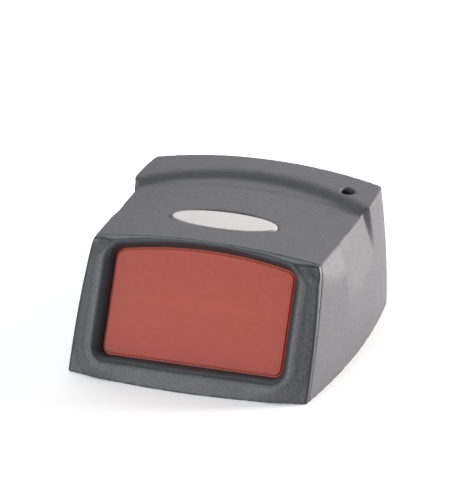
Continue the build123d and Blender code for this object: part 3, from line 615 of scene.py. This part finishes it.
def window_red():
    """Red acrylic: hazy in the middle, brighter red towards its edges as painted light against the frame's
    shade, with a faint band across.
    """
    made = Nodes("window_red", RED_MIDDLE, 0.32, Specular_IOR_Level=0.15, Coat_Weight=0.0)
    rim = made.node("ShaderNodeAttribute", attribute_name="rim").outputs["Fac"]
    band = made.node("ShaderNodeAttribute", attribute_name="band").outputs["Fac"]
    haze = made.spread(made.noise(0.009, 3.0), 0.35, 0.65, 0.0, 0.22)
    body = made.mix(haze, RED_MIDDLE, RED_HAZE)
    # Painted light: the rim mask brightens the red near the outline, where the frame's shade falls on the
    # pane.
    body = made.mix(made.math("MULTIPLY", rim, 0.4), body, RED_RIM_PAINTED_LIGHT)
    made.colour(made.mix(made.math("MULTIPLY", band, 0.5), body, RED_BAND))
    scuffs = made.noise(0.0009, 4.0, 0.7)
    made.roughness(made.spread(scuffs, 0.35, 0.7, 0.28, 0.4))
    made.bump(made.noise(0.0004), 0.2, 0.000008)
    return made.material


RED_MIDDLE = (0.42, 0.069, 0.045)
RED_HAZE = (0.38, 0.082, 0.056)
# brighter red painted near the window's outline as painted light
RED_RIM_PAINTED_LIGHT = (0.45, 0.07, 0.05)
RED_BAND = (0.49, 0.07, 0.048)
GREY = (0.065, 0.065, 0.0715)
FRAME_GREY = (0.062, 0.063, 0.07)
# Dark colour of the frame's smooth band, partly its finish and partly painted shade round the window and
# along the frame's outer edge.
POLISHED_SHADE = (0.014, 0.019, 0.025)
housing_plastic = textured_plastic("housing_plastic", GREY, 0.0003, 0.3, 0.6)
bezel_plastic = textured_plastic("bezel_plastic", FRAME_GREY, 0.00036, 0.8, 0.42, POLISHED_SHADE)

FINISHES = {
    "gasket_foam": grained("gasket_foam", (0.008, 0.008, 0.009), 0.9, 0.0003, 0.3, 0.00006).material,
    "base_plastic": textured_plastic("base_plastic", (0.045, 0.045, 0.05), 0.0003, 0.3, 0.6),
    "screw_steel": brushed("screw_steel", (0.42, 0.42, 0.44), 0.34, (1.0, 5.0, 1.0)),
    "insert_brass": brushed("insert_brass", (0.62, 0.44, 0.18), 0.3, (1.0, 1.0, 6.0)),
    "label_film": grained("label_film", (0.62, 0.62, 0.60), 0.42, 0.0005, 0.05).material,
    "board_green": board_green(),
    "chip_black": grained("chip_black", (0.018, 0.018, 0.02), 0.5, 0.0001, 0.25).material,
    "capacitor_tan": grained("capacitor_tan", (0.42, 0.27, 0.13), 0.42, 0.0002, 0.15).material,
    "led_lens": grained("led_lens", (0.75, 0.78, 0.72), 0.2, 0.0004, 0.06).material,
    "beeper_black": grained("beeper_black", (0.015, 0.015, 0.016), 0.35, 0.0004, 0.2).material,
    "connector_ivory": grained("connector_ivory", (0.66, 0.60, 0.46), 0.45, 0.0003, 0.08).material,
    "jack_black": grained("jack_black", (0.017, 0.017, 0.019), 0.4, 0.00025, 0.25).material,
    "contact_gold": brushed("contact_gold", (0.85, 0.62, 0.25), 0.25, (1.0, 6.0, 1.0)),
    "chassis_zinc": grained(
        "chassis_zinc", (0.38, 0.38, 0.40), 0.42, 0.0004, 0.12, 0.00003, Metallic=0.9
    ).material,
    "flex_amber": grained("flex_amber", (0.50, 0.22, 0.04), 0.3, 0.0005, 0.1).material,
    "barrel_brass": brushed("barrel_brass", (0.64, 0.47, 0.2), 0.28, (6.0, 1.0, 1.0)),
    "diode_can": brushed("diode_can", (0.7, 0.58, 0.3), 0.22, (1.0, 4.0, 1.0)),
    "lens_clear": grained(
        "lens_clear", (0.80, 0.86, 0.90), 0.06, 0.001, 0.03, 0.000004, Transmission_Weight=0.85, IOR=1.5
    ).material,
    "mirror_coat": grained(
        "mirror_coat", (0.85, 0.86, 0.88), 0.06, 0.0009, 0.04, 0.000003, Metallic=1.0
    ).material,
    "hub_plastic": grained("hub_plastic", (0.03, 0.03, 0.032), 0.45, 0.0002, 0.2).material,
    "magnet_nickel": brushed("magnet_nickel", (0.55, 0.54, 0.52), 0.3, (1.0, 1.0, 3.0)),
    "coil_copper": brushed("coil_copper", (0.60, 0.26, 0.12), 0.35, (1.0, 1.0, 9.0), 0.0006, 0.35),
    "window_red": window_red(),
    "badge_white": grained("badge_white", (0.45, 0.44, 0.43), 0.38, 0.00025, 0.05, 0.00001).material,
    "light_pipe": grained(
        "light_pipe", (0.02, 0.021, 0.025), 0.18, 0.0005, 0.15, 0.000006, Coat_Weight=0.4
    ).material,
}

SLOTS = {row["node"]: row["material_slot"] for row in frame["record"]["subparts"]}
for node, cad_piece in frame["nodes"].items():
    finish = FINISHES.get(SLOTS[node])
    if finish:
        for place in cad_piece.material_slots:
            place.material = finish

# ---------------------------------------------------------------- pieces
body_low, body_high = [np.array(corner) / MM for corner in cad_bounds]


def add_piece(piece, finish, node):
    piece.data.materials.append(finish)
    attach(piece, "case")
    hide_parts(node)


def set_attribute(piece, name, values):
    layer = piece.data.attributes.new(name, "FLOAT", "POINT")
    layer.data.foreach_set("value", np.asarray(values, dtype=np.float32))


def vertices_mm(piece):
    flat = np.empty(len(piece.data.vertices) * 3, np.float32)
    piece.data.vertices.foreach_get("co", flat)
    return flat.reshape(-1, 3).astype(float) / MM


def stack_of_rings(name, rings):
    """A closed solid through rings of equally many points, with a point at each end's middle."""
    count = len(rings[0])
    points = np.concatenate([np.mean(rings[0], 0)[None], *rings, np.mean(rings[-1], 0)[None]])
    around = np.arange(count)
    after = (around + 1) % count
    faces = [(0, 1 + b, 1 + a) for a, b in zip(around, after)]
    for level in range(len(rings) - 1):
        low = 1 + level * count
        high = low + count
        faces += [(low + a, low + b, high + b, high + a) for a, b in zip(around, after)]
    last = 1 + (len(rings) - 1) * count
    faces += [(last + a, last + b, len(points) - 1) for a, b in zip(around, after)]
    mesh = bpy.data.meshes.new(name)
    mesh.from_pydata([tuple(point) for point in points * MM], [], faces)
    mesh.polygons.foreach_set("use_smooth", np.ones(len(faces), dtype=bool))
    mesh.set_sharp_from_angle(angle=math.radians(38))
    mesh.update()
    piece = bpy.data.objects.new(name, mesh)
    bpy.context.scene.collection.objects.link(piece)
    return piece


shell = mesh_from_field("housing_shell", housing_field, body_low, body_high, HOUSING_CELL)
add_piece(shell, housing_plastic, "top_housing")

# The frame is smooth up to this distance from the window, and in a thin line along its outside; there its
# colour is also darker, partly the smooth finish and partly painted shade.
TEXTURE_AWAY = 1.9
TEXTURE_MORE = 0.3
TEXTURE_TOP_UP = (8.5, 11.5)
SMOOTH_SHADED_LINE = (0.25, 0.6)
bezel_low, bezel_high = box_mm("front_bezel")
rim = mesh_from_field("bezel_frame", bezel_field, bezel_low, bezel_high, BEZEL_CELL)
add_piece(rim, bezel_plastic, "front_bezel")
rim_x, rim_y, rim_z = vertices_mm(rim).T
rim_up, _ = raked(rim_y, rim_z)
rim_edge = window_edge(rim_x, rim_up)
texture_start = TEXTURE_AWAY + TEXTURE_MORE * ramp(rim_up, *TEXTURE_TOP_UP)
rim_inset = -np.maximum(side_field(rim_x, rim_y, rim_z), top_field(rim_x, rim_y, rim_z))
# Painted shade: this mask darkens the band in the window's recess and the thin line along the frame's
# outside.
funnel_polish_shade = 1.0 - ramp(rim_edge, texture_start - 0.12, texture_start + 0.14)
set_attribute(rim, "polish_and_shade", np.maximum(funnel_polish_shade, 1.0 - ramp(rim_inset, *SMOOTH_SHADED_LINE)))


# ---------------------------------------------------------------- the red window
def window_ring(inset, out, count=240):
    """Points round the window's outline, moved inwards by inset, at the height out."""
    half_w = WINDOW_HALF_W - inset
    corner_r = max(WINDOW_CORNER_R - inset, 0.3)
    low = -(WINDOW_SIDE_H + WINDOW_ARCH) / 2 + inset
    high = low - inset * 2 + WINDOW_SIDE_H
    turns = np.linspace(0, 2 * math.pi, count, endpoint=False) + math.pi / count
    middle = (low + high) / 2
    half_h = (high - low) / 2
    # a box with rounded corners, followed at an even spacing
    straight_w = 2 * (half_w - corner_r)
    straight_h = 2 * (half_h - corner_r)
    quarter = corner_r * math.pi / 2
    length = 2 * straight_w + 2 * straight_h + 4 * quarter
    across, along = [], []
    for turn in turns:
        gone = turn / (2 * math.pi) * length
        x, y, heading = -straight_w / 2, -half_h, 0.0
        for run in (straight_w, straight_h, straight_w, straight_h):
            step = min(gone, run)
            x += step * math.cos(heading)
            y += step * math.sin(heading)
            gone -= step
            step = min(gone, quarter)
            if step > 0:
                angle = step / corner_r
                x += corner_r * (math.sin(heading + angle) - math.sin(heading))
                y += corner_r * (math.cos(heading) - math.cos(heading + angle))
                gone -= step
            heading += math.pi / 2
            if gone <= 1e-9:
                break
        across.append(x)
        along.append(y)
    across, along = np.array(across), np.array(along) + middle
    share = ramp(along, 0.0, high)
    along = along + share * (WINDOW_ARCH * (1 - (across / WINDOW_HALF_W) ** 2))
    return on_window(across, along, out)


def on_window(across, up, out):
    """Turns window coordinates into the frame's."""
    y = WINDOW_Y + up * math.sin(RAKE) - out * math.cos(RAKE)
    z = WINDOW_Z + up * math.cos(RAKE) + out * math.sin(RAKE)
    return np.stack([across, y, z + 0 * across], 1)


EDGE_R = 0.15
PANEL_CROWN = 0.12


def make_window():
    rings = [
        window_ring(-LEDGE_SIDE + 0.1, -GLASS_DEPTH - GLASS_T),
        window_ring(-LEDGE_SIDE + 0.1, -GLASS_DEPTH),
        window_ring(PANEL_GAP, -GLASS_DEPTH),
        window_ring(PANEL_GAP, -PANEL_DEPTH - EDGE_R),
    ]
    for step in range(1, 6):
        angle = step / 5 * math.pi / 2
        inset = PANEL_GAP + EDGE_R * (1 - math.cos(angle))
        rings.append(window_ring(inset, -PANEL_DEPTH - EDGE_R * (1 - math.sin(angle))))
    face = rings[-1]
    middle = on_window(np.zeros(1), np.zeros(1), -PANEL_DEPTH)
    normal = np.array([0.0, -math.cos(RAKE), math.sin(RAKE)])
    for share in (0.97, 0.94, 0.9, 0.85, 0.78, 0.7, 0.6, 0.5, 0.4, 0.3, 0.2, 0.1):
        rings.append(middle + (face - middle) * share + normal * PANEL_CROWN * (1 - share**2))
    window = stack_of_rings("window_panel", rings)
    add_piece(window, FINISHES["window_red"], "exit_window")
    x, y, z = vertices_mm(window).T
    up, out = raked(y, z)
    border = -window_edge(x, up)
    # Painted light: the rim attribute brightens the red within about 3 mm of the outline.
    set_attribute(window, "rim", 1.0 - ramp(border, 0.5, 3.2))
    set_attribute(window, "band", np.exp(-(((up - 0.7) / 0.75) ** 2)) * ramp(-np.abs(x - 1.0), -16.0, -6.0))


make_window()


# ---------------------------------------------------------------- badge and light pipe
def oval_ring(centre, radii, inset, z, count=128):
    turns = np.linspace(0, 2 * math.pi, count, endpoint=False)
    x = centre[0] + (radii[0] - inset) * np.cos(turns)
    y = centre[1] + (radii[1] - inset) * np.sin(turns)
    return np.stack([x, y, np.full(count, z)], 1)


BADGE_EDGE_R = 0.28
BADGE_CROWN = 0.1
PIPE_R = 1.5
PIPE_FLANGE_R = 2.4
PIPE_FLANGE_Z = (24.2, 25.4)
PIPE_DOME_H = 0.55


def make_badge():
    top = badge_high[2] - BADGE_CROWN
    rings = [oval_ring(BADGE_MID, BADGE_R, 0.0, z) for z in (badge_low[2], top - BADGE_EDGE_R)]
    for step in range(1, 6):
        angle = step / 5 * math.pi / 2
        inset = BADGE_EDGE_R * (1 - math.cos(angle))
        rings.append(oval_ring(BADGE_MID, BADGE_R, inset, top - BADGE_EDGE_R * (1 - math.sin(angle))))
    face = rings[-1]
    middle = np.array([[BADGE_MID[0], BADGE_MID[1], top]])
    for share in (0.9, 0.75, 0.6, 0.45, 0.3, 0.15):
        rise = BADGE_CROWN * (1 - share**2)
        rings.append(middle + (face - middle) * share + np.array([0, 0, rise]))
    add_piece(stack_of_rings("badge_plate", rings), FINISHES["badge_white"], "badge")


def make_light_pipe():
    foot, top = pipe_low[2], pipe_high[2]
    dome = top - PIPE_DOME_H
    flange_foot, flange_top = PIPE_FLANGE_Z
    profile = [(PIPE_R, foot), (PIPE_R, flange_foot), (PIPE_FLANGE_R, flange_foot)]
    profile += [(PIPE_FLANGE_R, flange_top), (PIPE_R, flange_top), (PIPE_R, dome)]
    for angle in (0.3, 0.6, 0.9, 1.2, 1.4):
        profile.append((PIPE_R * math.cos(angle), dome + PIPE_DOME_H * math.sin(angle)))
    rings = [oval_ring(PIPE_MID, (r, r), 0.0, z, 48) for r, z in profile]
    add_piece(stack_of_rings("indicator_lens", rings), FINISHES["light_pipe"], "led_light_pipe")


make_badge()
make_light_pipe()


# ---------------------------------------------------------------- the cable jack
def box_field(x, y, z, low, high):
    sides = [np.maximum(a - value, value - b) for value, a, b in zip((x, y, z), low, high)]
    return np.maximum(np.maximum(sides[0], sides[1]), sides[2])


def rounded_box(x, y, z, low, high, radius):
    away = [np.abs(value - (a + b) / 2) - (b - a) / 2 + radius for value, a, b in zip((x, y, z), low, high)]
    outside = np.sqrt(sum(np.maximum(part, 0.0) ** 2 for part in away))
    return outside + np.minimum(np.maximum(np.maximum(away[0], away[1]), away[2]), 0.0) - radius


RIB_X = 6.6


def jack_field(x, y, z):
    body = rounded_box(x, y, z, jack_low, jack_high, 0.35)
    floor_z = jack_low[2] + 1.6
    back_y = jack_high[1]
    socket = rounded_box(x, y, z, (-5.9, back_y - 11.0, floor_z), (5.9, back_y + 5, floor_z + 7.6), 0.2)
    latch = rounded_box(x, y, z, (-2.1, back_y - 8.0, floor_z), (2.1, back_y + 5, floor_z + 9.0), 0.2)
    field = smooth_max(body, -smooth_min(socket, latch, 0.1), 0.3)
    # the moulded ribs each side of the mouth
    for side in (-1, 1):
        groove_low = (side * RIB_X - 0.2, back_y - 0.3, floor_z)
        groove_high = (side * RIB_X + 0.2, back_y + 1, floor_z + 7.0)
        groove = box_field(x, y, z, groove_low, groove_high)
        field = smooth_max(field, -groove, 0.1)
    return field


jack = mesh_from_field("jack_body", jack_field, jack_low, jack_high, 0.25)
add_piece(jack, FINISHES["jack_black"], "rear_jack")


# ---------------------------------------------------------------- studio and camera
AZIMUTH = math.radians(19.41)
ELEVATION = math.radians(24.45)
ROLL = math.radians(-0.52)
FOCAL_PX = 8000.0
DISTANCE = 1.6614
IMAGE_LONG_SIDE = 500
FLOOR_REACH = 3.0
FLOOR_GLOW = 0.16
SENSOR = 36.0
AIM_X_PX = -11.65
AIM_Y_PX = 28.48


def make_camera():
    right = Vector((math.cos(AZIMUTH), math.sin(AZIMUTH), 0))
    forward = Vector(
        (
            -math.sin(AZIMUTH) * math.cos(ELEVATION),
            math.cos(AZIMUTH) * math.cos(ELEVATION),
            -math.sin(ELEVATION),
        )
    )
    up = right.cross(forward)
    right, up = right * math.cos(ROLL) + up * math.sin(ROLL), up * math.cos(ROLL) - right * math.sin(ROLL)
    centre = Vector((0, 0, 14 * MM))
    data = bpy.data.cameras.new("camera")
    data.sensor_width = SENSOR
    data.lens = FOCAL_PX * SENSOR / IMAGE_LONG_SIDE
    data.clip_end = 10.0
    scale = DISTANCE / FOCAL_PX
    camera = bpy.data.objects.new("camera", data)
    place = centre - forward * DISTANCE - right * AIM_X_PX * scale + up * AIM_Y_PX * scale
    camera.matrix_world = Matrix.Translation(place) @ Matrix((right, up, -forward)).transposed().to_4x4()
    bpy.context.scene.collection.objects.link(camera)
    bpy.context.scene.camera = camera


def area_light(name, place, aim, size, power, colour=(1, 1, 1)):
    data = bpy.data.lights.new(name, "AREA")
    data.shape = "RECTANGLE"
    data.size, data.size_y = size
    data.energy = power
    data.color = colour
    light = bpy.data.objects.new(name, data)
    light.location = place
    light.rotation_euler = (Vector(aim) - Vector(place)).to_track_quat("-Z", "Y").to_euler()
    bpy.context.scene.collection.objects.link(light)


def make_studio():
    world = bpy.data.worlds.new("studio")
    world.use_nodes = True
    background = world.node_tree.nodes["Background"]
    background.inputs["Color"].default_value = (0.88, 0.93, 1.0, 1)
    background.inputs["Strength"].default_value = 0.2
    bpy.context.scene.world = world
    mesh = bpy.data.meshes.new("floor")
    reach = FLOOR_REACH
    corners = [(-reach, -reach, 0), (reach, -reach, 0), (reach, reach, 0), (-reach, reach, 0)]
    mesh.from_pydata(corners, [], [(0, 1, 2, 3)])
    floor = bpy.data.objects.new("floor", mesh)
    bpy.context.scene.collection.objects.link(floor)
    paper = Nodes("floor_paper", (0.9, 0.9, 0.9), 0.8)
    paper.shader.inputs["Emission Color"].default_value = (1.0, 1.0, 1.0, 1.0)
    paper.shader.inputs["Emission Strength"].default_value = FLOOR_GLOW
    paper.colour(paper.mix(paper.noise(0.02), (0.89, 0.89, 0.89), (0.91, 0.91, 0.91)))
    mesh.materials.append(paper.material)
    area_light("overhead", (-0.3, 0.42, 0.64), (0, 0, 0.01), (0.8, 0.8), 5.7)
    area_light("front", (-0.32, -0.715, 0.38), (0, 0, 0.01), (0.5, 0.5), 4.0)
    area_light("side", (0.62, 0.45, 0.2), (0, 0, 0.015), (0.3, 0.3), 14.0, (1.0, 0.95, 0.925))
    bpy.context.scene.view_settings.view_transform = "Standard"


make_camera()
make_studio()
